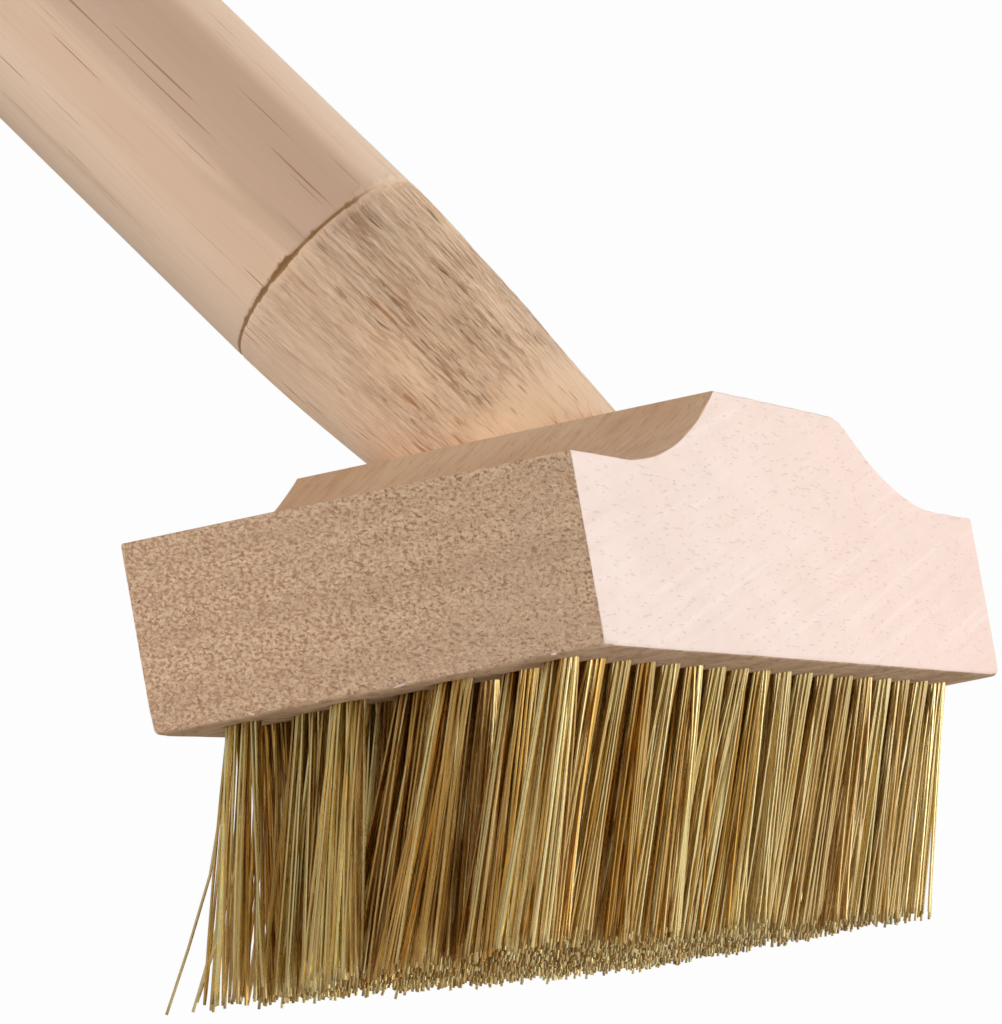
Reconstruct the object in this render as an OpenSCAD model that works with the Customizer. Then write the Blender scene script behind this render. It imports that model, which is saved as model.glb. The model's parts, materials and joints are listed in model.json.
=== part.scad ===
// Wire deck scrub: a wooden block set with tufts of straight brassed wire, on a leaning wooden stick.
// Frame: millimetres, +Z up. The origin is the trimmed tip of the middle tuft, in the plane of all tips.
// +Y runs along the block. The stick leans towards -X as it rises, and so do the tufts towards their tips.

/* [Block] */
// Length of the block, along the grain
block_length = 180; // [150:1:220]
// Width of the block, across the grain
block_width = 50; // [46:1:60]
// Thickness of the block's thin ends
shoulder_height = 20.5; // [19:0.5:26]
// Thickness of the block at the flat hump in the middle
hump_height = 30.3; // [29:0.1:36]
// Length of the flat top of the hump
hump_length = 56; // [48:1:70]
// Flat length at each end before the hollow curve begins
shoulder_length = 19; // [10:1:26]

/* [Tufts] */
// Height of the block's underside above the plane of the wire tips
wire_drop = 28.5; // [22:0.5:40]
// Lean of the tufts from upright, towards -X at the tips
wire_lean = 15; // [0:1:18]
// Tufts in each of the full lines
tufts_full = 18; // [12:1:18]
// Full lines across the block, with a staggered line between each two
full_lines = 4; // [2:1:4]
// Distance between tufts along a line
pitch_along = 9.65; // [9:0.05:10]
// Distance between full lines
pitch_across = 11.8; // [11.4:0.1:12]
// Diameter of a tuft hole
hole_diameter = 4.2; // [3.6:0.1:4.6]
// Depth of a tuft hole below the block's underside, measured straight up
hole_depth = 7; // [6:0.1:7.2]
// Diameter of a tuft's spread end at the tips
tip_diameter = 6.2; // [4.5:0.1:6.4]

/* [Anchors] */
// Thickness of the flat wire staple that holds a tuft
anchor_thickness = 0.4; // [0.3:0.05:0.6]
// Height of the staple
anchor_height = 2.2; // [1.8:0.1:3]
// Overlap of the staple into the wood on each side of the hole
anchor_bite = 0.15; // [0.1:0.05:0.3]

/* [Stick] */
// Diameter of the stick
stick_diameter = 28.5; // [26:0.1:30]
// Full length of the stick, from the plug's end to the rounded top
stick_length = 1200; // [600:10:1500]
// Lean of the stick from upright, towards -X
stick_lean = 36; // [30:1:38]
// Distance of the stick's axis from the block's middle line, at the hump
stick_offset = 6.5; // [5:0.1:8]
// Length of the tapered nose above the hump, along the axis
nose_length = 32.5; // [25:0.5:40]
// Stretch of the nose that keeps the plug's straight taper, before it rounds off into the shaft
nose_straight = 18; // [12:0.5:20]
// Diameter of the nose where its axis meets the hump
mouth_diameter = 24; // [22:0.1:24.5]
// Depth of the socket below the hump, along the axis
socket_depth = 19; // [15:0.5:19.5]
// Taper of the plug and socket, each side
plug_taper = 4.8; // [3:0.1:6]
// Radial clearance between plug and socket
plug_clearance = 0.05; // [0.02:0.01:0.1]
// Width of the score line turned where the nose begins
score_width = 0.9; // [0.5:0.1:1.5]
// Depth of the score line
score_depth = 0.5; // [0.2:0.1:0.8]

/* [Hidden] */
// Gap between the block and the moving stretch of each tuft, which lets the tufts bend
bend_gap = 0.6;
// Gap between a folded tuft and the wall of its hole
root_gap = 0.05;
// Gap between the stick's end and the floor of its socket
socket_floor_gap = 0.5;
// Extra length of a cutter that has to pass through a face
overrun = 2;
curve_steps = 24;

tuft_lines = 2 * full_lines - 1;
tip_shift = wire_drop * tan(wire_lean);
block_x = tip_shift;
hump_z = wire_drop + hump_height;
cove_run = (block_length - hump_length) / 2 - shoulder_length;
cove_rise = hump_height - shoulder_height;
cove_radius = (cove_run * cove_run + cove_rise * cove_rise) / (2 * cove_rise);
cove_angle = asin(cove_run / cove_radius);

full_radius = stick_diameter / 2;
mouth_radius = mouth_diameter / 2;
plug_length = socket_depth - socket_floor_gap;
// Above the straight taper the nose eases into the full diameter along a parabola
ease_length = nose_length - nose_straight;
ease_radius = mouth_radius + nose_straight * tan(plug_taper);
ease_excess = ease_radius + ease_length * tan(plug_taper) - full_radius;
ease_steps = 10;
function nose_radius(t) =
    ease_radius + t * tan(plug_taper) - ease_excess * pow(t / ease_length, 2);

function line_x(i) = (i - (tuft_lines - 1) / 2) * pitch_across / 2;
function line_count(i) = i % 2 == 0 ? tufts_full : tufts_full - 1;
function tuft_y(i, k) = (k - (line_count(i) - 1) / 2) * pitch_along;

// Puts its children at every tuft of line i, at the block's underside, with +Z up the hole
module at_tufts(i)
    for (k = [0 : line_count(i) - 1])
        translate([block_x + line_x(i), tuft_y(i, k), wire_drop])
            rotate([0, wire_lean, 0])
                children();

// Puts its children on the stick's axis, with the origin at the hump and +Z up the stick
module on_stick()
    translate([block_x - stick_offset, 0, hump_z])
        rotate([0, -stick_lean, 0])
            children();

// Side outline of the block: thin ends, a hollow curve up to the hump, and its flat top
module block_outline()
    polygon(concat(
        [[-block_length / 2, 0], [block_length / 2, 0], [block_length / 2, shoulder_height]],
        [for (k = [0 : curve_steps])
            let (a = cove_angle * k / curve_steps)
            [block_length / 2 - shoulder_length - cove_radius * sin(a),
             shoulder_height + cove_radius * (1 - cos(a))]],
        [for (k = [curve_steps : -1 : 0])
            let (a = cove_angle * k / curve_steps)
            [-block_length / 2 + shoulder_length + cove_radius * sin(a),
             shoulder_height + cove_radius * (1 - cos(a))]],
        [[-block_length / 2, shoulder_height]]
    ));

// Tapered hole for the stick, open through the hump
module socket()
    on_stick()
        translate([0, 0, -socket_depth])
            cylinder(
                h = socket_depth + full_radius,
                r1 = mouth_radius - socket_depth * tan(plug_taper) + plug_clearance,
                r2 = mouth_radius + full_radius * tan(plug_taper) + plug_clearance,
                $fn = 96
            );

// Blind hole for one tuft, square to the tuft and cut off level at its depth
module tuft_holes(i)
    intersection() {
        at_tufts(i)
            translate([0, 0, -overrun])
                cylinder(h = 2 * hole_depth, d = hole_diameter, $fn = 32);
        translate([-block_width, -block_length, wire_drop - overrun])
            cube([2 * block_width, 2 * block_length, hole_depth + overrun]);
    }

module block()
    color("burlywood")
        difference() {
            translate([block_x - block_width / 2, 0, wire_drop])
                rotate([90, 0, 90])
                    linear_extrude(block_width)
                        block_outline();
            socket();
            for (i = [0 : tuft_lines - 1])
                tuft_holes(i);
        }

// Turned stick: plug, tapered nose, score line, plain shaft and rounded top
module stick()
    color("wheat")
        on_stick()
            rotate_extrude($fn = 96)
                polygon(concat(
                    [[0, -plug_length]],
                    [[mouth_radius - plug_length * tan(plug_taper), -plug_length]],
                    [for (k = [0 : ease_steps])
                        let (t = ease_length * k / ease_steps)
                        [nose_radius(t), nose_straight + t]],
                    [[full_radius - score_depth, nose_length + score_width / 2],
                     [full_radius, nose_length + score_width]],
                    [for (a = [0 : 9 : 90])
                        [full_radius * cos(a), stick_length - plug_length - full_radius + full_radius * sin(a)]]
                ));

// Free stretch of each tuft in line i, from just under the block to the trimmed tips
module wires(i)
    color("goldenrod")
        intersection() {
            at_tufts(i)
                translate([0, 0, -1.2 * wire_drop])
                    cylinder(
                        h = 1.2 * wire_drop,
                        d1 = hole_diameter + 1.2 * (tip_diameter - hole_diameter),
                        d2 = hole_diameter,
                        $fn = 32
                    );
            translate([-block_width, -block_length, 0])
                cube([2 * block_width, 2 * block_length, wire_drop - bend_gap]);
        }

// Flat staple across the fold of each tuft in line i, biting into the wood on both sides
module anchors(i)
    color("silver")
        at_tufts(i)
            translate([0, 0, hole_depth - anchor_height])
                cube([anchor_thickness, hole_diameter + 2 * anchor_bite, anchor_height], center = true);

// Folded stretch of each tuft in line i, inside its hole
module roots(i)
    color("darkgoldenrod")
        difference() {
            intersection() {
                at_tufts(i)
                    translate([0, 0, -overrun])
                        cylinder(h = 2 * hole_depth, d = hole_diameter - 2 * root_gap, $fn = 32);
                translate([-block_width, -block_length, wire_drop])
                    cube([2 * block_width, 2 * block_length, hole_depth - root_gap]);
            }
            anchors(i);
        }

block();
stick();
wires(0);  // wires_1
wires(1);  // wires_2
wires(2);  // wires_3
wires(3);  // wires_4
wires(4);  // wires_5
wires(5);  // wires_6
wires(6);  // wires_7
roots(0);  // roots_1
roots(1);  // roots_2
roots(2);  // roots_3
roots(3);  // roots_4
roots(4);  // roots_5
roots(5);  // roots_6
roots(6);  // roots_7
anchors(0);  // anchors_1
anchors(1);  // anchors_2
anchors(2);  // anchors_3
anchors(3);  // anchors_4
anchors(4);  // anchors_5
anchors(5);  // anchors_6
anchors(6);  // anchors_7
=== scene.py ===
# Wire deck scrub: a beech block set with tufts of brassed wire, on a leaning pine stick.
# Metres, +Z up, +Y along the block. The stick leans towards -X, and so do the tufts towards their tips.
import json
import math

import bpy
import numpy as np
from mathutils import Matrix, Vector, noise


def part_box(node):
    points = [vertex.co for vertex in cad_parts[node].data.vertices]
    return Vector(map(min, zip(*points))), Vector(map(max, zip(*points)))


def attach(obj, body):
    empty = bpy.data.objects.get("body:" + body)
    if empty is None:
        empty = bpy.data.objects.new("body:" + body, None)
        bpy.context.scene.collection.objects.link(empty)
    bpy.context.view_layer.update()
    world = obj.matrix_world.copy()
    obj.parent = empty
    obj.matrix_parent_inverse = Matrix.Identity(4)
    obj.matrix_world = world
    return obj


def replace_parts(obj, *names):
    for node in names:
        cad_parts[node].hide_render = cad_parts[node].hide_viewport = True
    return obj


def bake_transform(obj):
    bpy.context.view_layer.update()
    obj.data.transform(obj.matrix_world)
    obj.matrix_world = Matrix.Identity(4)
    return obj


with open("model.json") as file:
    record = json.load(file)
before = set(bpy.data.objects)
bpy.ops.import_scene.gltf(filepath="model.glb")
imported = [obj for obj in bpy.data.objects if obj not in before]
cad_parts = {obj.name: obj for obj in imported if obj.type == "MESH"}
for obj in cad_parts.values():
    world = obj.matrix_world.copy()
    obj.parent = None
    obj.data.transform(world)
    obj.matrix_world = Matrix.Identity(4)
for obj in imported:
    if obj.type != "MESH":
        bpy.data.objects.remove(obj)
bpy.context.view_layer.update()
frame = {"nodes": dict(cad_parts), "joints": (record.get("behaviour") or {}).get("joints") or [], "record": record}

# ---------------------------------------------------------------------------------------------
# Block
# One piece of steamed beech with its grain along the length. The ends are rough-sawn, the long
# faces planed, and the hump with its two hollow curves is run on a spindle moulder. The underside
# has a leaning blind hole for each tuft, and the hump a tapered socket for the stick.
mm = 0.001
block_low, block_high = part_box("block")
half_length = (block_high.y - block_low.y) / 2
underside = block_low.z
shoulder_height = 20.5 * mm
hump_height = block_high.z - underside
hump_half = 28 * mm
shoulder_length = 19 * mm
hollow_start = half_length - shoulder_length
hollow_run = hollow_start - hump_half
hollow_rise = hump_height - shoulder_height
hollow_radius = (hollow_run**2 + hollow_rise**2) / (2 * hollow_rise)
sanded_depth = 0.45 * mm
sanded_reach = 2 * mm


def top_height(y):
    """Height of the block's top over its underside, at y. Sanding has eased the hump's far corner."""
    inward = np.clip(hollow_start - np.abs(y), 0, hollow_run)
    eased = sanded_depth * np.exp(-(((y - hump_half) / sanded_reach) ** 2))
    return shoulder_height + hollow_radius - np.sqrt(hollow_radius**2 - inward**2) - eased


def cuts(low, high, step, extra=()):
    """Grid lines from low to high, finer beside both ends, where the arris is rounded."""
    near_edge = np.array([0, 0.12, 0.25, 0.42, 0.65, 0.95]) * mm
    inner = np.arange(low + 1.3 * mm, high - 1.3 * mm, step)
    return np.unique(np.concatenate([low + near_edge, inner, high - near_edge, extra]))


def box_skin(xs, ys, zs):
    """Points of a box's surface along grid lines, and its quads by side: x, y and z, low then high."""
    on_skin = np.zeros((len(xs), len(ys), len(zs)), bool)
    on_skin[[0, -1]] = True
    on_skin[:, [0, -1]] = True
    on_skin[:, :, [0, -1]] = True
    number = np.full(on_skin.shape, -1)
    number[on_skin] = np.arange(on_skin.sum())
    i, j, k = np.nonzero(on_skin)
    sheets = [number[0].T, number[-1], number[:, 0], number[:, -1].T, number[:, :, 0].T, number[:, :, -1]]
    quads = [np.stack([s[:-1, :-1], s[1:, :-1], s[1:, 1:], s[:-1, 1:]], -1).reshape(-1, 4) for s in sheets]
    return np.stack([xs[i], ys[j], zs[k]], 1), quads


def rough(points, scale, seed, octaves=3):
    """Fractal noise from about -1 to 1 at each point, after stretching the points by scale."""
    offset = Vector((seed * 17.3, seed * 5.1, seed * 9.7))
    stretched = np.asarray(points) * np.array(scale)
    return np.array([noise.fractal(Vector(p) + offset, 0.7, 2.1, octaves) for p in stretched])


def new_piece(name, points, faces, materials=(), smooth_below=35):
    """A mesh object with smooth shading, apart from edges that turn by more than smooth_below degrees."""
    mesh = bpy.data.meshes.new(name)
    points, faces = np.asarray(points, float), np.asarray(faces)
    mesh.vertices.add(len(points))
    mesh.vertices.foreach_set("co", points.ravel())
    mesh.loops.add(faces.size)
    mesh.loops.foreach_set("vertex_index", faces.ravel())
    mesh.polygons.add(len(faces))
    mesh.polygons.foreach_set("loop_start", np.arange(0, faces.size, faces.shape[1]))
    mesh.update(calc_edges=True)
    for material in materials:
        mesh.materials.append(material)
    mesh.shade_smooth()
    if smooth_below:
        mesh.set_sharp_from_angle(angle=math.radians(smooth_below))
    piece = bpy.data.objects.new(name, mesh)
    bpy.context.scene.collection.objects.link(piece)
    return piece


class Socket:
    """An output in a node tree. Arithmetic on it adds Math nodes, and node() adds any other node."""

    def __init__(self, tree, output=None):
        self.tree = tree
        self.output = output

    def node(self, kind, settings=None, inputs=None, output=0):
        """Adds a node: its settings, then its sockets' values or links. Returns one of its outputs."""
        made = self.tree.nodes.new(kind)
        for name, value in (settings or {}).items():
            setattr(made, name, value)
        for name, value in (inputs or {}).items():
            if isinstance(value, Socket):
                self.tree.links.new(value.output, made.inputs[name])
            else:
                made.inputs[name].default_value = value
        return Socket(self.tree, made.outputs[output] if made.outputs else None)

    def math(self, operation, first, second=0.0):
        return self.node("ShaderNodeMath", {"operation": operation}, {0: first, 1: second})

    def __add__(self, other):
        return self.math("ADD", self, other)

    def __sub__(self, other):
        return self.math("SUBTRACT", self, other)

    def __mul__(self, other):
        return self.math("MULTIPLY", self, other)

    def __truediv__(self, other):
        return self.math("DIVIDE", self, other)

    def __rsub__(self, other):
        return self.math("SUBTRACT", other, self)

    __radd__ = __add__
    __rmul__ = __mul__

    def sine(self):
        return self.math("SINE", self)

    def step(self, low, high):
        """0 below low, 1 above high, and smooth between; low may be the larger."""
        inputs = {"Value": self, "From Min": low, "From Max": high}
        return self.node("ShaderNodeMapRange", {"interpolation_type": "SMOOTHSTEP"}, inputs)

    def axis(self, number):
        """One coordinate of this vector."""
        return self.node("ShaderNodeSeparateXYZ", {}, {0: self}, number)

    def mark(self, name):
        """A value that the mesh carries at each of its points."""
        return self.node("ShaderNodeAttribute", {"attribute_name": name}, {}, "Fac")

    def stretch(self, scale, turn=(0, 0, 0)):
        """This vector, turned and then scaled along each axis."""
        turned = self.node("ShaderNodeMapping", {}, {"Vector": self, "Rotation": turn})
        return turned.node("ShaderNodeMapping", {}, {"Vector": turned, "Scale": scale})

    def noise(self, scale, detail=2.0, roughness=0.5, distortion=0.0):
        """Noise at this vector, from 0 to 1."""
        inputs = {"Vector": self, "Scale": scale, "Detail": detail}
        inputs |= {"Roughness": roughness, "Distortion": distortion}
        return self.node("ShaderNodeTexNoise", {}, inputs)

    def mix(self, first, second):
        """The first colour where this value is 0, and the second where it is 1."""
        settings = {"data_type": "RGBA", "clamp_factor": True}
        return self.node("ShaderNodeMix", settings, {0: self, 6: first, 7: second}, 2)


def colour(red, green, blue):
    """A colour given as it is seen on a screen, from 0 to 255, as the shader takes it."""
    seen = np.array([red, green, blue]) / 255
    linear = np.where(seen <= 0.04045, seen / 12.92, ((seen + 0.055) / 1.055) ** 2.4)
    return (*(float(v) for v in linear), 1.0)


def new_material(name):
    """An empty material, the start of its nodes, and the place on the piece that it shades."""
    material = bpy.data.materials.new(name)
    material.use_nodes = True
    material.node_tree.nodes.clear()
    tree = Socket(material.node_tree)
    return material, tree, tree.node("ShaderNodeTexCoord", {}, {}, "Object")


def surface(tree, base, roughness, height, bump, metallic=0.0, specular=0.5):
    """Ends a material: its colour, its roughness, and a height that the light sees as a bump."""
    normal = tree.node("ShaderNodeBump", {}, {"Strength": 1.0, "Distance": bump, "Height": height})
    inputs = {"Base Color": base, "Roughness": roughness, "Normal": normal}
    inputs |= {"Metallic": metallic, "Specular IOR Level": specular}
    shader = tree.node("ShaderNodeBsdfPrincipled", {}, inputs)
    tree.node("ShaderNodeOutputMaterial", {}, {"Surface": shader})


def planed_beech():
    """Long faces: pale and faintly pink, with short pores along the grain and a slow flecked figure."""
    material, tree, place = new_material("planed_beech")
    figure = place.stretch((900, 30, 160), (math.radians(14), 0, 0)).noise(1.0, 3, 0.55)
    cloud = place.noise(38, 3, 0.6)
    pores = place.stretch((2500, 420, 3600)).noise(1.0, 1, 0.4).step(0.655, 0.73)
    flecks = place.stretch((1500, 150, 1300)).noise(1.0, 2, 0.6).step(0.60, 0.72)
    rays = place.stretch((300, 18, 800), (math.radians(-11), 0, 0)).noise(1.0, 3, 0.55)
    base = cloud.step(0.30, 0.72).mix(colour(246, 223, 211), colour(242, 217, 204))
    far = place.axis(1).step(-half_length, half_length)
    base = (far * 0.5).mix(base, colour(243, 206, 192))
    base = (figure.step(0.42, 0.70) * 0.45).mix(base, colour(238, 212, 199))
    base = (rays.step(0.52, 0.72) * 0.35).mix(base, colour(252, 234, 222))
    base = (rays.step(0.46, 0.26) * 0.35).mix(base, colour(236, 206, 190))
    base = (flecks * 0.25).mix(base, colour(236, 206, 192))
    base = (pores * 0.16).mix(base, colour(214, 174, 158))
    height = figure * 0.25 - pores * 0.7
    surface(tree, base, 0.52 + cloud * 0.16, height, 0.06 * mm, specular=0.35)
    return material


def sawn_beech():
    """End grain: brown, crumbled by the saw, with dark pits, torn pale fibres and faint saw lines. Its crumbs
    carry a painted highlight on their crests and painted shade in their hollows, and the face is painted lighter
    toward +X, where the key light falls.
    """
    material, tree, place = new_material("sawn_beech")
    tilt = (0, math.radians(-16), 0)
    crumbs = place.stretch((2100, 2100, 2900), tilt).noise(1.0, 2, 0.55, 0.5)
    grains = place.stretch((3300, 3300, 4700), tilt).noise(1.0, 3, 0.65, 0.6)
    pits = place.stretch((2600, 2600, 3600)).noise(1.0, 2, 0.5).step(0.66, 0.76)
    fibres = place.stretch((2300, 2300, 4200), tilt).noise(1.0, 3, 0.6, 0.7).step(0.60, 0.70)
    # Runs from 0 on the -X side to 1 on the +X side. The crumbs' relief grows stronger toward +X, and the face is
    # painted lighter there, where the key light falls.
    coarse_and_lit_side = place.axis(0).step(block_low.x, block_high.x)
    rings = place.stretch((14, 14, 330), (0, math.radians(2), 0)).noise(1.0, 3, 0.5)
    cloud = place.noise(60, 3, 0.55)
    # Painted highlight and painted shade: the crumbs' crests are pale and their hollows dark, and the fine grains'
    # hollows are dark, following the bump.
    base = crumbs.step(0.37, 0.63).mix(colour(216, 167, 132), colour(255, 219, 182))
    # Painted light: lighter toward the +X side, where the key light falls.
    base = (coarse_and_lit_side * 0.25).mix(base, colour(255, 218, 180))
    base = (crumbs.step(0.43, 0.33) * (0.22 + coarse_and_lit_side * 0.43)).mix(base, colour(142, 95, 68))
    base = (grains.step(0.44, 0.32) * 0.30).mix(base, colour(158, 112, 82))
    base = (rings.step(0.38, 0.66) * 0.25).mix(base, colour(200, 158, 126))
    base = (cloud.step(0.42, 0.72) * 0.35).mix(base, colour(232, 196, 166))
    base = (fibres * 0.35).mix(base, colour(255, 224, 192))
    base = (pits * 0.60).mix(base, colour(140, 100, 74))
    height = (crumbs * 0.9 + grains * 0.9 + fibres * 0.25 - pits * 0.5) * (0.85 + coarse_and_lit_side * 0.25)
    surface(tree, base, 0.86, height, 0.50 * mm, specular=0.2)
    return material


def moulded_beech():
    """Hump, hollow curves and thin ends: brown, with fine cutter streaks and a slight gloss."""
    material, tree, place = new_material("moulded_beech")
    cloud = place.stretch((60, 45, 60)).noise(1.0, 3, 0.55)
    streaks = place.stretch((1300, 130, 130), (0, 0, math.radians(9))).noise(1.0, 3, 0.6)
    pores = place.stretch((3000, 500, 500)).noise(1.0, 1, 0.4).step(0.66, 0.74)
    chatter = place.stretch((18, 620, 18)).noise(1.0, 1, 0.3)
    base = cloud.step(0.32, 0.70).mix(colour(208, 164, 127), colour(218, 181, 146))
    base = (streaks.step(0.42, 0.70) * 0.5).mix(base, colour(186, 141, 106))
    base = (pores * 0.25).mix(base, colour(160, 114, 80))
    height = streaks * 0.5 + chatter * 0.5 - pores * 0.6
    surface(tree, base, 0.5 + streaks * 0.2, height, 0.10 * mm, specular=0.35)
    return material


def drilled_beech():
    """Underside and bores: brown and mottled, hairy from the drill, with dust rubbed into the grain."""
    material, tree, place = new_material("drilled_beech")
    hairs = place.stretch((2200, 300, 2200)).noise(1.0, 3, 0.6)
    dust = place.noise(110, 4, 0.6)
    mottle = place.stretch((900, 500, 900)).noise(1.0, 3, 0.6, 0.4)
    base = dust.step(0.30, 0.70).mix(colour(176, 143, 112), colour(206, 172, 139))
    base = (hairs.step(0.5, 0.75) * 0.5).mix(base, colour(142, 108, 80))
    base = (mottle.step(0.50, 0.66) * 0.5).mix(base, colour(132, 98, 70))
    surface(tree, base, 0.85, hairs * 0.7 + dust * 0.3, 0.16 * mm, specular=0.2)
    return material


hump_corners = np.array([-hump_half - 0.3 * mm, -hump_half, hump_half, hump_half + 0.3 * mm])
block_points, block_sides = box_skin(
    cuts(block_low.x, block_high.x, 0.45 * mm),
    cuts(block_low.y, block_high.y, 0.85 * mm, hump_corners),
    cuts(0, shoulder_height, 0.45 * mm),
)
# The broken arris: each point within its radius of an edge moves onto a round. It wears unevenly,
# and more along the underside, where the block knocks against the floor.
wear = rough(block_points, (90, 90, 90), 1)
knocked = np.clip(1 - block_points[:, 2] / (3 * mm), 0, 1)
at_ends = np.clip((np.abs(block_points[:, 1]) - half_length) / mm + 4, 0, 1)
arris = 0.26 + 0.08 * wear + knocked * (0.10 + at_ends * (0.40 + 0.4 * wear))
arris = np.clip(arris, 0.12, 0.95)[:, None] * mm
box_low = np.array([block_low.x, block_low.y, 0])
box_high = np.array([block_high.x, block_high.y, shoulder_height])
core = np.clip(block_points, box_low + arris, box_high - arris)
outward = block_points - core
reach = np.linalg.norm(outward, axis=1, keepdims=True)
block_points = core + outward * arris / np.maximum(reach, 1e-9)
block_points[:, 2] *= top_height(block_points[:, 1]) / shoulder_height
# Sawn ends stand and sink by a tenth of a millimetre, and the moulded top carries faint cutter waves.
toward_end = np.clip((np.abs(block_points[:, 1]) - half_length + 0.5 * mm) / (0.5 * mm), 0, 1)
torn = rough(block_points, (1400, 300, 2300), 2)
saw_marks = rough(block_points, (40, 40, 900), 3, 1)
sunk = toward_end * (0.08 + 0.07 * torn + 0.03 * saw_marks) * mm
block_points[:, 1] -= np.sign(block_points[:, 1]) * sunk
on_top = np.clip((block_points[:, 2] / top_height(block_points[:, 1]) - 0.98) / 0.02, 0, 1)
cutter_wave = 0.02 * mm * (1 + np.sin(block_points[:, 1] / (1.6 * mm)))
block_points[:, 2] -= on_top * cutter_wave
block_points[:, 2] += underside

beech = [planed_beech(), sawn_beech(), moulded_beech(), drilled_beech()]
PLANED, SAWN, MOULDED, DRILLED = range(4)
block = new_piece("beech_block", block_points, np.concatenate(block_sides), beech)
side_finish = [PLANED, PLANED, SAWN, SAWN, DRILLED, MOULDED]
finish_of_quad = np.concatenate([np.full(len(q), f) for q, f in zip(block_sides, side_finish)])
block.data.polygons.foreach_set("material_index", finish_of_quad)


def lathe(profile, sides):
    """Points and quads of a turned shape. Its profile gives radius and height, from the bottom up."""
    turn = np.arange(sides) * 2 * math.pi / sides
    radius, height = np.asarray(profile).T
    ring = np.stack([np.cos(turn), np.sin(turn), np.zeros(sides)], 1)
    points = radius[:, None, None] * ring + height[:, None, None] * np.array([0, 0, 1])
    here = np.arange(len(radius) * sides).reshape(-1, sides)
    across = np.roll(here, -1, axis=1)
    quads = np.stack([here[:-1], across[:-1], across[1:], here[1:]], -1)
    return points.reshape(-1, 3), quads.reshape(-1, 4)


def turn_onto(direction, place):
    """The placing whose +Z runs along direction from place, with +Y kept along the block."""
    z = Vector(direction).normalized()
    y = Vector((0, 1, 0))
    return Matrix.Translation(place) @ Matrix((y.cross(z), y, z)).transposed().to_4x4()


def moved(placing, points):
    """Points given in a frame of their own, put where the placing says."""
    turned = np.array(placing)[:3]
    return points @ turned[:, :3].T + turned[:, 3]


def gathered(shapes):
    """Points and quads of many shapes as one. A shape is its placing, its points and its quads."""
    starts = np.cumsum([0] + [len(points) for _, points, _ in shapes])
    points = np.concatenate([moved(placing, points) for placing, points, _ in shapes])
    return points, np.concatenate([quads + start for (_, _, quads), start in zip(shapes, starts)])


def slivers(feet, ways, lengths, radius):
    """Pointed splinters, each from its foot along its way."""
    shapes = []
    for foot, way, length in zip(feet, ways, lengths):
        turn = Vector(way).to_track_quat("Z", "Y").to_matrix().to_4x4()
        profile = [(0, 0), (radius, 0.15 * length), (0.7 * radius, 0.6 * length), (0, length)]
        shapes.append((Matrix.Translation(foot) @ turn, *lathe(profile, sides=5)))
    return gathered(shapes)


# Tufts stand in seven staggered lines, each placed where the frame has its own hinge.
line_places = [Vector(j["pos_m"]) for j in frame["joints"] if j["name"].startswith("wire_bend")]
hole_radius = 2.1 * mm
hole_depth = 7 * mm
tuft_spacing = 9.65 * mm
tuft_lean = math.radians(15)
up_tuft = Vector((math.sin(tuft_lean), 0, math.cos(tuft_lean)))


def tuft_feet(line):
    """Where each tuft of a line comes out of the block."""
    root_low, root_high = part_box(f"roots_{line + 1}")
    count = round((root_high.y - root_low.y - 2 * hole_radius) / tuft_spacing) + 1
    steps = np.arange(count) - (count - 1) / 2
    return [line_places[line] + Vector((0, step * tuft_spacing, 0)) for step in steps]


stick_slide = next(j for j in frame["joints"] if j["name"] == "stick_pull")
up_stick = Vector(stick_slide["axis"])
grip = next(m for m in frame["record"]["mounts"] if m["name"] == "grip")
stick_foot = Vector(grip["pos_m"])
stick_foot += up_stick * ((block_high.z - stick_foot.z) / up_stick.z)
mouth_radius = 12 * mm
taper = math.tan(math.radians(4.8))
socket_depth = 19 * mm
plug_gap = 0.05 * mm

# The drill and the reamer, cut out of the block as one set. Both run out past the wood.
drill_out = 2 * mm
drill_shape = [(0, -drill_out), (hole_radius, -drill_out), (hole_radius, hole_depth), (0, hole_depth)]
drill = lathe(drill_shape, sides=24)
reamer_out = 13 * mm
reamer_low = mouth_radius - socket_depth * taper + plug_gap
reamer_high = mouth_radius + reamer_out * taper + plug_gap
reamer_shape = [(0, -socket_depth), (reamer_low, -socket_depth), (reamer_high, reamer_out), (0, reamer_out)]
reamer = lathe(reamer_shape, sides=96)
foot_places = [tuft_feet(line) for line in range(len(line_places))]
cutters = [(turn_onto(up_tuft, foot), *drill) for feet in foot_places for foot in feet]
cutters.append((turn_onto(up_stick, stick_foot), *reamer))
bores = new_piece("bores", *gathered(cutters), beech)
bores.data.validate()
welded = bores.modifiers.new("weld", "WELD")
welded.merge_threshold = 0.001 * mm
bores.data.polygons.foreach_set("material_index", np.full(len(bores.data.polygons), DRILLED))
cut = block.modifiers.new("bores", "BOOLEAN")
cut.operation = "DIFFERENCE"
cut.solver = "EXACT"
cut.object = bores
shaped = block.evaluated_get(bpy.context.evaluated_depsgraph_get())
block.modifiers.clear()
block.data = bpy.data.meshes.new_from_object(shaped)
bpy.data.objects.remove(bores)
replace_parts(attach(block, "head"), "block")

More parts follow.
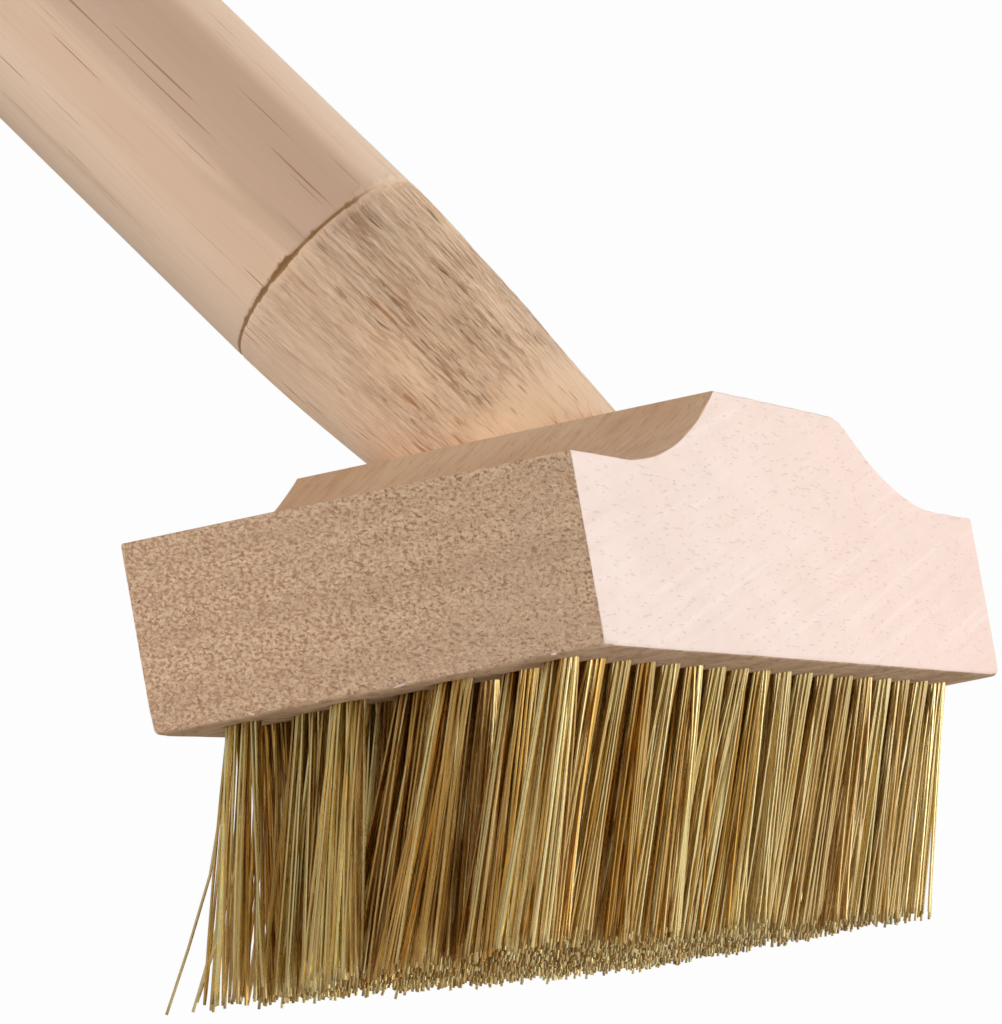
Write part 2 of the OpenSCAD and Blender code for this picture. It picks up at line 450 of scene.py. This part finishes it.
# A few splinters stand off the lower edge of each sawn end, where the saw broke through.
rng = np.random.default_rng(12)
small_splinters = 7
long_splinter_x = 10.8 * mm
bedded = 0.2 * mm
broken_x = rng.uniform(block_low.x + 3 * mm, block_high.x - 3 * mm, small_splinters)
broken_x = np.append(broken_x, long_splinter_x)
which_end = np.append(rng.choice([-1, 1], small_splinters), -1)
broken_edge = np.stack([broken_x, which_end * (half_length - bedded), 0 * broken_x + underside + bedded], 1)
sideways = rng.uniform(-1, 1, len(broken_x))
broken_ways = np.stack([sideways, which_end * 0.5, rng.uniform(-0.5, 0.1, len(broken_x))], 1)
broken_lengths = np.append(rng.uniform(0.5, 1.1, small_splinters), 1.8) * mm
broken_slivers = slivers(broken_edge, broken_ways, broken_lengths, 0.14 * mm)
splinters = new_piece("edge_splinters", *broken_slivers, beech)
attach(splinters, "head")

# ---------------------------------------------------------------------------------------------
# Stick
# Pine, turned to a plain round shaft with a domed top. A knife ring marks where the lathe began
# the taper, and the taper below it is torn where the tool lifted the grain. Its end is driven
# into the block's socket and holds there by wedging.
stick_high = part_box("stick")[1]
shaft_radius = grip["dims"]["r_mm"] * mm
nose_length = 32.5 * mm
nose_straight = 18 * mm
score_width = 0.9 * mm
score_depth = 0.5 * mm
floor_gap = 0.5 * mm
plug_length = socket_depth - floor_gap
stick_top = (stick_high.z - shaft_radius - stick_foot.z) / up_stick.z + shaft_radius
# The side of the stick that carries a darker band: part brown streak in the wood, part painted core shade between
# the lights.
dark_band_side = math.radians(-58)
torn_side = math.radians(-35)


def nose_radius(along):
    """Radius of the plug and nose, at a distance along the axis above the hump."""
    ease = nose_length - nose_straight
    excess = mouth_radius + nose_length * taper - shaft_radius
    return mouth_radius + along * taper - excess * (np.maximum(along - nose_straight, 0) / ease) ** 2


def pine_ground(tree, place):
    """What every face of the pine shares: slanted growth rings, a fine fibre, and a darker band down one side that
    is part brown streak in the wood and part painted core shade.
    """
    wander = place.stretch((20, 20, 3)).noise(1.0, 2, 0.5)
    across, other = place.axis(0), place.axis(1)
    late = ((across + wander * 0.012) * 330.0).sine().step(0.25, 1.0)
    fibre = place.stretch((2300, 2300, 55)).noise(1.0, 3, 0.6)
    cloud = place.stretch((30, 30, 8)).noise(1.0, 3, 0.55)
    waver = place.stretch((60, 60, 9)).noise(1.0, 2, 0.5)
    # The darker band down one side: part brown streak, part painted core shade.
    facing = (across * math.cos(dark_band_side) + other * math.sin(dark_band_side)) / shaft_radius + waver * 0.10
    streak_and_core_shade = facing.step(0.93, 1.01)
    base = cloud.step(0.3, 0.7).mix(colour(231, 201, 174), colour(223, 190, 162))
    base = (late * 0.26).mix(base, colour(208, 168, 134))
    base = (fibre.step(0.48, 0.72) * 0.26).mix(base, colour(204, 164, 134))
    return base, fibre, streak_and_core_shade


def score_stain(tree, base):
    """Darkens a colour where the knife ring bites."""
    bite = tree.mark("scored")
    return (bite.step(0.15, 0.75) * 0.9).mix(base, colour(146, 106, 58))


def turned_pine():
    """Plain shaft: straw-coloured, with rings cut at a slant, a darker band down one side that is part brown
    streak and part painted core shade, and resin lines.
    """
    material, tree, place = new_material("turned_pine")
    base, fibre, streak_and_core_shade = pine_ground(tree, place)
    # Painted shade in part: the dark band stands for the shaft's core shade as well as a brown streak.
    base = (streak_and_core_shade * 0.55).mix(base, colour(190, 152, 128))
    lines = place.stretch((2300, 2300, 44)).noise(1.0, 1, 0.4).step(0.69, 0.745)
    smudge = place.stretch((210, 210, 20)).noise(1.0, 2, 0.6, 0.3).step(0.58, 0.72)
    base = (smudge * 0.32).mix(base, colour(172, 144, 110))
    base = (lines * 0.7).mix(base, colour(160, 106, 72))
    height = fibre * 0.7 - lines * 0.4
    surface(tree, score_stain(tree, base), 0.48 + fibre * 0.14, height, 0.05 * mm, specular=0.4)
    return material


def torn_pine():
    """Tapered nose: the same pine with its grain lifted, with brown painted shade in the furrows and gouges and a
    pale painted highlight on the crests.
    """
    material, tree, place = new_material("torn_pine")
    base, fibre, streak_and_core_shade = pine_ground(tree, place)
    depth = tree.mark("torn")
    ridges = place.stretch((2200, 2200, 140)).noise(1.0, 4, 0.64, 0.6)
    shreds = place.stretch((2900, 2900, 420)).noise(1.0, 3, 0.6, 0.5)
    gouges = place.stretch((1900, 1900, 210)).noise(1.0, 2, 0.5, 0.4).step(0.64, 0.74)
    dashes = place.stretch((1700, 1700, 90)).noise(1.0, 1, 0.4).step(0.68, 0.74)
    roughened = tree.mark("lifted")
    base = place.stretch((40, 40, 24)).noise(1.0, 2, 0.5).step(0.3, 0.7).mix(base, colour(251, 213, 175))
    # The same band, part streak and part painted core shade, but fainter on the nose.
    base = (streak_and_core_shade * 0.15).mix(base, colour(196, 158, 132))
    # Painted shade in the ridges' furrows and painted highlight on their crests, both stronger where the grain is
    # lifted.
    base = (ridges.step(0.52, 0.40) * (0.14 + roughened * 0.50)).mix(base, colour(188, 145, 110))
    base = (ridges.step(0.54, 0.64) * (0.10 + roughened * 0.45)).mix(base, colour(250, 224, 196))
    base = (shreds.step(0.60, 0.72) * 0.30).mix(base, colour(244, 220, 196))
    base = (dashes * 0.65).mix(base, colour(184, 116, 68))
    # Painted shade in the gouges.
    base = (gouges * roughened * 0.6).mix(base, colour(150, 106, 64))
    # Painted shade where the torn furrows of the mesh are deepest.
    base = (depth.step(0.45, 1.0) * 0.35).mix(base, colour(138, 102, 58))
    height = (ridges + shreds * 0.4 - gouges * 0.3) * (0.25 + roughened)
    surface(tree, score_stain(tree, base), 0.72, height, 0.60 * mm, specular=0.25)
    return material


# Ring heights along the axis: coarse on the plug, dense on the nose and score, coarse on the shaft.
stick_sides = 352
score_end = nose_length + score_width
heights = np.concatenate([
    np.linspace(-plug_length, 0, 10)[:-1],
    np.linspace(0, nose_length - 1 * mm, 104)[:-1],
    nose_length - np.array([1, 0.85, 0.7, 0.55, 0.4, 0.27, 0.14, 0]) * mm,
    nose_length + score_width * np.array([0.12, 0.3, 0.5, 0.7, 0.88, 1.0]),
    score_end + np.array([0.15, 0.3, 0.45, 0.6, 0.8, 1.2, 2, 4]) * mm,
    np.linspace(score_end + 8 * mm, stick_top - shaft_radius, 90),
])
radii = np.where(heights < nose_length, nose_radius(heights), shaft_radius)
in_score = np.clip(1 - np.abs((heights - nose_length) / score_width - 0.5) * 2, 0, 1)
dome = np.radians(np.arange(6, 91, 6))
heights = np.concatenate([[-plug_length], heights, stick_top - shaft_radius * (1 - np.sin(dome))])
radii = np.concatenate([[0], radii, shaft_radius * np.cos(dome)])
in_score = np.concatenate([[0], in_score, 0 * dome])
stick_points, stick_quads = lathe(np.stack([radii, heights], 1), stick_sides)
turn = np.arctan2(stick_points[:, 1], stick_points[:, 0])
along = stick_points[:, 2]
# The tool lifted the grain over one side of the nose, and ran clean over the other.
furrow_depth = 0.30 * mm
ridge_height = 0.16 * mm
against_grain = np.clip(0.30 + 0.85 * np.cos(turn - torn_side), 0, 1)
patches = rough(stick_points, (260, 260, 90), 5, 2)
furrows = rough(stick_points, (1450, 1450, 130), 6, 3)
on_nose = np.clip((along - 1.5 * mm) / (4 * mm), 0, 1) * np.clip((nose_length - along) / (1 * mm), 0, 1)
lifted = on_nose * np.clip(against_grain * (1.0 + 0.6 * patches) - 0.1, 0.04, 1.2)
torn_depth = lifted * np.clip(furrows + 0.05, 0, 1)
pulled = torn_depth * furrow_depth - lifted * np.clip(-furrows - 0.1, 0, 1) * ridge_height
# The knife ring is ragged: widest and deepest on one side of the torn stretch, crushed shut on the
# other side of it, and a fine line elsewhere.
ragged = rough(stick_points, (700, 700, 500), 7, 3)
deepest_side = math.radians(-72)
crushed_side = math.radians(-8)
deepest = np.clip(1.15 * np.cos((turn - deepest_side) * 0.9), 0, 1) ** 2
bitten = np.clip(0.50 + 0.40 * deepest + 0.6 * ragged * deepest, 0.3, 1.1)
scored = np.repeat(in_score, stick_sides) * bitten
crushed = np.clip(np.cos(turn - crushed_side) * 3 - 2.0, 0, 1)
scored *= 1 - 0.85 * crushed
pulled += scored * score_depth * 0.6
# Its stain bleeds past the cut where it is ragged, and the fibres it raised stand as a burr.
off_score = np.abs(along - nose_length - score_width / 2)
bleed = (0.26 + 0.55 * np.clip(ragged, 0, 1) * deepest) * mm
stained = np.clip(1.25 - off_score / bleed, 0, 1) * (1 - 0.9 * crushed)
burr_height = 0.45 * mm
burr = np.clip(1 - np.abs(off_score / mm - 0.75) / 0.45, 0, 1) * np.clip(ragged + 0.1, 0, 1)
pulled -= burr * (0.35 * deepest + 0.55 * crushed) * burr_height
# Turning leaves a faint ripple on the shaft.
ripple_height = 0.012 * mm
on_shaft = np.clip((along - score_end) / (1 * mm), 0, 1)
ripple = on_shaft * ripple_height * rough(stick_points, (60, 60, 260), 8, 2)
from_axis = np.maximum(np.hypot(stick_points[:, 0], stick_points[:, 1]), 1e-9)
outward = stick_points * [1, 1, 0] / from_axis[:, None]
stick_points = stick_points - outward * (pulled - ripple)[:, None]


def add_mark(piece, name, amounts):
    """Gives a piece's points a value that its material reads by name."""
    values = amounts.astype(np.float32)
    piece.data.attributes.new(name, "FLOAT", "POINT").data.foreach_set("value", values)


pine = [turned_pine(), torn_pine()]
stick = new_piece("pine_stick", stick_points, stick_quads, pine)
below_ring = along[stick_quads].mean(1) < nose_length + score_width / 2
stick.data.polygons.foreach_set("material_index", below_ring.astype(int))
add_mark(stick, "torn", torn_depth / torn_depth.max())
add_mark(stick, "lifted", lifted)
add_mark(stick, "scored", stained)
stick.matrix_world = turn_onto(up_stick, stick_foot)
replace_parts(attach(stick, "stick"), "stick")

# Slivers that the rim of the socket rolled up, as the nose was driven in. The hump cuts the nose
# at a slant, so along the nose the rim is lowest on the +X side.
rng = np.random.default_rng(7)
rolled_count = 26
around = np.radians(rng.normal(-38, 30, rolled_count))
past_rim = rng.uniform(0.5, 2.4, rolled_count) * mm
rolled_from = past_rim - mouth_radius * np.cos(around) * math.sqrt(1 - up_stick.z**2) / up_stick.z
off_axis = nose_radius(rolled_from) - 0.08 * mm
outward = np.stack([np.cos(around), np.sin(around), 0 * around], 1)
along_axis = np.array([0, 0, 1])
rolled_feet = outward * off_axis[:, None] + rolled_from[:, None] * along_axis
curl = rng.uniform(0.1, 0.55, rolled_count)[:, None]
rolled_ways = outward * curl + rng.normal(0, 0.12, (rolled_count, 3)) + along_axis
rolled_lengths = rng.uniform(1.0, 3.2, rolled_count) * mm
rolled_slivers = slivers(rolled_feet, rolled_ways, rolled_lengths, 0.13 * mm)
rolled = new_piece("nose_splinters", *rolled_slivers, pine[::-1])
rolled.matrix_world = turn_onto(up_stick, stick_foot)
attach(rolled, "stick")

# ---------------------------------------------------------------------------------------------
# Tuft roots
# Each tuft is a bundle of straight brassed steel wires, folded in half. The legs fill the hole,
# and a staple driven over the fold holds them at its bottom.
wire_radius = 0.17 * mm
loops_per_tuft = 23
fold_height = 6.0 * mm
fold_nesting = 0.55
leg_height = 5.0 * mm
hidden_start = 0.8 * mm
wire_sides = 6


def loop_places():
    """Where the folded wires' legs stand on one side of the staple. The other side mirrors them."""
    near_staple, between, along_staple = 0.40 * mm, 0.40 * mm, 0.46 * mm
    places = [
        (near_staple + between * i, (j + 0.5 * (i % 2)) * along_staple)
        for i in range(4) for j in range(-5, 6)
    ]
    return sorted(places, key=lambda place: (round(math.hypot(*place), 7), place))[:loops_per_tuft]


def tubes(paths):
    """Points and quads of round wires along paths, an array of wire, place along it, and coordinate."""
    ahead = np.gradient(paths, axis=1)
    ahead /= np.linalg.norm(ahead, axis=2, keepdims=True)
    side = np.cross(ahead, [0.0, 1.0, 0.0])
    side /= np.linalg.norm(side, axis=2, keepdims=True)
    other = np.cross(ahead, side)
    turn = np.arange(wire_sides) * 2 * math.pi / wire_sides
    ring = side[:, :, None] * np.cos(turn)[:, None] + other[:, :, None] * np.sin(turn)[:, None]
    points = paths[:, :, None] + wire_radius * ring
    number = np.arange(points.size // 3).reshape(points.shape[:3])
    across = np.roll(number, -1, axis=2)
    quads = np.stack([number[:, :-1], across[:, :-1], across[:, 1:], number[:, 1:]], -1)
    return points.reshape(-1, 3), quads.reshape(-1, 4)


def brassed_wire():
    """Drawn steel wire with a thin brass wash: gold to olive from wire to wire, with drawing marks, and painted
    light that makes the wires paler toward the block's far end.
    """
    material, tree, place = new_material("brassed_wire")
    tone = tree.mark("tone")
    blotch = place.stretch((420, 420, 110)).noise(1.0, 3, 0.6)
    marks = place.stretch((5200, 5200, 90)).noise(1.0, 2, 0.6)
    tarnish_and_lit_side = tree.mark("tarnish_and_lit_side")
    base = tone.mix(colour(200, 154, 78), colour(255, 240, 178))
    # Painted light in part: this pale wash grows toward the block's far end, where the key light falls. Its spread
    # from wire to wire is the wire's own.
    base = (tarnish_and_lit_side * 0.55).mix(base, colour(234, 212, 166))
    base = (blotch.step(0.45, 0.72) * 0.28).mix(base, colour(184, 140, 66))
    base = (marks.step(0.50, 0.75) * 0.12).mix(base, colour(140, 108, 52))
    grime = tree.mark("grime")
    base = (grime * 0.75).mix(base, colour(104, 74, 44))
    roughness = 0.20 + marks * 0.10 + blotch.step(0.5, 0.8) * 0.14 + grime * 0.2
    surface(tree, base, roughness, marks, 0.008 * mm, metallic=1.0)
    return material


brassed = brassed_wire()
fold_places = np.array(loop_places())
fold_angles = np.radians([0, 28, 60, 90, 120, 152, 180])
for line, feet in enumerate(foot_places):
    loops = []
    for foot in feet:
        for x, y in fold_places:
            rise = fold_height + fold_nesting * (x - fold_places[:, 0].min()) - leg_height
            leg = np.array([[x, y, hidden_start]])
            fold = [[x * math.cos(a), y, leg_height + rise * math.sin(a)] for a in fold_angles]
            loop = np.concatenate([leg, fold, leg * [-1, 1, 1]])
            loops.append(moved(turn_onto(up_tuft, foot), loop))
    points, quads = tubes(np.array(loops))
    roots = new_piece(f"tuft_roots_{line + 1}", points, quads, [brassed], smooth_below=0)
    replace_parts(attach(roots, "head"), f"roots_{line + 1}")

# ---------------------------------------------------------------------------------------------
# Wires
# The free stretch of each tuft: straight wires that fan out from the hole and are trimmed square
# in one plane. They are stiff but springy, so a few have strayed, and the tufts at the block's
# near corner have been splayed by use. The trimmed ends show bare steel.
rng = np.random.default_rng(41)
tip_spread = 1.52
tuft_sway = math.radians(1.6)
wire_sway = math.radians(1.2)
stray_share = 0.08
stray_sway = math.radians(3.4)
least_sway = (-0.16, -0.16)
most_sway = (0.06, 0.16)
most_sway_at_end = (0.06, 0.03)
wire_bow = 0.35 * mm
trim_height = 0.15 * mm
trim_error = 0.42 * mm
corner_start = 52 * mm
corner_run = 28 * mm
corner_upright = 2.6 * mm
kink_share = 0.17
outer_lean = 2.6 * mm
outer_lean_fade = 0.7 * mm
wire_length = line_places[0].z / up_tuft.z
along_wire = np.array([-hidden_start / wire_length, 0.03, 0.26, 0.53, 0.78, 0.95, 1.0])


def cut_steel():
    """Sheared wire ends: steel with a burr, some bright and others browned by dirt."""
    material, tree, place = new_material("cut_steel")
    grit = place.noise(5200, 3, 0.6)
    tone = tree.mark("tone")
    # More ends are bright toward the block's far end: painted light carried by the tone mark.
    base = tone.step(0.45, 0.95).mix(colour(98, 68, 42), colour(240, 206, 150))
    base = (grit.step(0.4, 0.7) * 0.5).mix(base, colour(96, 68, 44))
    surface(tree, base, 0.34 + grit * 0.2, grit, 0.03 * mm, metallic=1.0)
    return material


steel_ends = cut_steel()
legs = np.concatenate([fold_places, fold_places * [-1, 1]])
count = len(legs)
for line, feet in enumerate(foot_places):
    bunch, tones, tarnishes_and_lit_side, grimes = [], [], [], []
    for foot in feet:
        toward_far_end = foot.y / half_length
        corner = np.clip((-foot.y - corner_start) / corner_run, 0, 1) * np.clip(1 - line / 3.2, 0, 1)
        sway = (rng.normal(0, tuft_sway, 2) + rng.normal(0, wire_sway, (count, 2))) * (1 + 0.4 * corner)
        strays = rng.random(count) < stray_share
        sway[strays] += rng.normal(0, stray_sway, (strays.sum(), 2))
        sway = np.clip(sway, least_sway, most_sway_at_end if foot is feet[-1] else most_sway)
        fan = legs * rng.normal(tip_spread, 0.06, (count, 1))
        start = np.concatenate([legs, np.zeros((count, 1))], 1)
        end = np.concatenate([fan + sway * wire_length, np.full((count, 1), -wire_length)], 1)
        start, end = (moved(turn_onto(up_tuft, foot), places) for places in (start, end))
        trim = np.clip(rng.normal(trim_height, trim_error, count), -0.6 * mm, 1.4 * mm)
        reach = ((trim - start[:, 2]) / (end[:, 2] - start[:, 2]))[:, None]
        end = start + (end - start) * reach
        bow = rng.normal(0, 1, (count, 3)) * [1, 1, 0] * wire_bow
        u = along_wire[None, :, None]
        paths = start[:, None] * (1 - u) + end[:, None] * u + bow[:, None] * 2 * u * (1 - u)
        # The lines on the +X side lean a little further. At the near corner the tufts stand more
        # upright, and a few wires of the first line have kinked outwards.
        kinked = (rng.random(count) < kink_share) & (line == 0)
        kink = kinked * rng.uniform(2.0, 6.0, count) * mm
        past_kink = np.clip(along_wire - 0.4, 0, 1) / 0.6
        further = line / 6 * (outer_lean - outer_lean_fade * toward_far_end)
        paths[:, :, 0] += (corner * corner_upright - further) * along_wire
        paths[:, :, 0] -= corner * kink[:, None] * past_kink**1.3
        bunch.append(paths)
        # Both the tone and the pale wash rise toward the far end: painted light, where the key light falls. Their
        # spread from wire to wire and from tuft to tuft is the wire's own.
        tone = rng.normal(0.5 + 0.2 * toward_far_end, 0.36, count) + rng.normal(0, 0.2)
        tarnish_and_lit_side = rng.normal(0.3 + 0.35 * toward_far_end, 0.3, count) + rng.normal(0, 0.2)
        grime = rng.uniform(0, 1.15, count)
        tones.append(tone)
        tarnishes_and_lit_side.append(tarnish_and_lit_side)
        grimes.append(grime)
    paths = np.concatenate(bunch)
    points, quads = tubes(paths)
    rings = len(along_wire)
    last_ring = (np.arange(len(paths))[:, None] * rings + rings - 1) * wire_sides
    caps = np.concatenate([last_ring + [0, 1, 2, 3], last_ring + [0, 3, 4, 5]])
    faces = np.concatenate([quads, caps])
    wires = new_piece(f"wires_line_{line + 1}", points, faces, [brassed, steel_ends], smooth_below=50)
    wires.data.polygons.foreach_set("material_index", np.repeat([0, 1], [len(quads), len(caps)]))
    everywhere = np.ones(rings)
    at_tip = along_wire > 0.96
    for name, amounts, where in [
        ("tone", tones, everywhere), ("tarnish_and_lit_side", tarnishes_and_lit_side, everywhere), ("grime", grimes, at_tip),
    ]:
        by_ring = np.concatenate(amounts).clip(0, 1)[:, None] * where
        add_mark(wires, name, np.repeat(by_ring.ravel(), wire_sides))
    f"line_{line + 1}"
    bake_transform(wires)
    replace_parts(wires, f"wires_{line + 1}")

# ---------------------------------------------------------------------------------------------
# Anchors
# Flat staples cut from steel strip and driven over each tuft's fold. Their ends bite into the
# wood on both sides of the hole and hold the tuft.


def strip_steel():
    """Cold-rolled strip: grey, with rolling marks along it and a trace of rust."""
    material, tree, place = new_material("strip_steel")
    rolled = place.stretch((3000, 300, 3000)).noise(1.0, 2, 0.6)
    rust = place.noise(900, 4, 0.6).step(0.58, 0.74)
    base = rolled.step(0.3, 0.7).mix(colour(120, 120, 120), colour(164, 164, 162))
    base = (rust * 0.6).mix(base, colour(118, 78, 48))
    surface(tree, base, 0.35 + rust * 0.4, rolled, 0.02 * mm, metallic=0.9)
    return material


strip = strip_steel()
for name, node in frame["nodes"].items():
    if name.startswith("anchors"):
        node.data.materials.clear()
        node.data.materials.append(strip)

# ---------------------------------------------------------------------------------------------
# Studio
# A plain white floor well below the tips, fading into a white surround that lights the object only
# weakly, and eight soft boxes: the strong ones from +X and a little behind, three weaker ones from
# the near side and the left, and two that light the upper half of the stick.
surround_white = (0.983, 0.983, 0.983, 1)
floor_half = 3.0
floor_drop = 0.30
fade_start = 0.5
fade_end = 1.3


def matt_white():
    """Floor paint, fading into the white surround. It can't be seen from below."""
    material, tree, place = new_material("matt_white")
    speck = place.noise(900, 2, 0.5)
    paint = speck.step(0.2, 0.8).mix(colour(240, 240, 240), colour(247, 247, 247))
    matt = tree.node("ShaderNodeBsdfPrincipled", {}, {"Base Color": paint, "Roughness": 0.9})
    lit = tree.node("ShaderNodeEmission", {}, {"Color": surround_white, "Strength": 1.0})
    seen_directly = tree.node("ShaderNodeLightPath", {}, {}, "Is Camera Ray")
    shader = tree.node("ShaderNodeMixShader", {}, {0: seen_directly * 0.7, 1: matt, 2: lit})
    clear = tree.node("ShaderNodeBsdfTransparent")
    behind = tree.node("ShaderNodeNewGeometry", {}, {}, "Backfacing")
    middle = tree.node("ShaderNodeVectorMath", {"operation": "LENGTH"}, {0: place}, "Value")
    gone = tree.math("MAXIMUM", behind, middle.step(fade_start, fade_end))
    seen = tree.node("ShaderNodeMixShader", {}, {0: gone, 1: shader, 2: clear})
    tree.node("ShaderNodeOutputMaterial", {}, {"Surface": seen})
    return material


corners = [(x * floor_half, y * floor_half, 0) for x, y in [(-1, -1), (1, -1), (1, 1), (-1, 1)]]
floor = new_piece("floor", corners, [(0, 1, 2, 3)], [matt_white()])
floor.location = (0, 0, -floor_drop)

world = bpy.data.worlds.new("surround")
bpy.context.scene.world = world
world.use_nodes = True
world.node_tree.nodes.clear()
sky = Socket(world.node_tree)
direct = sky.node("ShaderNodeLightPath", {}, {}, "Is Camera Ray")
glossy = sky.node("ShaderNodeLightPath", {}, {}, "Is Glossy Ray")
dim, glow = (0.11, 0.11, 0.11, 1), (0.38, 0.38, 0.36, 1)
seen = direct.mix(glossy.mix(dim, glow), surround_white)
background = sky.node("ShaderNodeBackground", {}, {"Color": seen, "Strength": 1.0})
sky.node("ShaderNodeOutputWorld", {}, {"Surface": background})


box_side = 1.0
box_distance = 1.6
head_middle = (0, 0, 0.05)
stick_upper = (-0.7, 0, 1.1)


def soft_light(name, azimuth, elevation, power, target=head_middle):
    """A square soft box that faces its target. Azimuth 0 is +X and 90 is +Y, in degrees."""
    data = bpy.data.lights.new(name, "AREA")
    data.size = box_side
    data.energy = power
    lamp = bpy.data.objects.new(name, data)
    bpy.context.scene.collection.objects.link(lamp)
    around, up = math.radians(azimuth), math.radians(elevation)
    toward = Vector((math.cos(up) * math.cos(around), math.cos(up) * math.sin(around), math.sin(up)))
    lamp.location = Vector(target) + box_distance * toward
    lamp.rotation_euler = toward.to_track_quat("Z", "Y").to_euler()
    lamp.visible_camera = False


soft_light("key", 45, 8, 12.4)
soft_light("key_low", 16, 3, 7.6)
soft_light("key_high", 60, 45, 4.0)
soft_light("front", -74, 8, 9.2)
soft_light("front_high", -90, 45, 5.2)
soft_light("left", -150, 8, 7.2)
soft_light("stick_front", -80, 25, 3.6, stick_upper)
soft_light("stick_back", 170, 30, 3.6, stick_upper)

# The camera looks up a little at the near end and the +X side, through a long lens.
camera_data = bpy.data.cameras.new("camera")
camera_data.lens = 234.1
camera_data.clip_start = 0.05
camera_data.clip_end = 100
camera = bpy.data.objects.new("camera", camera_data)
bpy.context.scene.collection.objects.link(camera)
look = Vector((-0.2819, 0.9546, 0.0959)).normalized()
right = look.cross(Vector((0.1958, -0.0406, 0.9798))).normalized()
facing = Matrix((right, right.cross(look), -look)).transposed().to_4x4()
camera.matrix_world = Matrix.Translation((0.2169, -0.7427, -0.0215)) @ facing
bpy.context.scene.camera = camera
bpy.context.scene.view_settings.view_transform = "Standard"
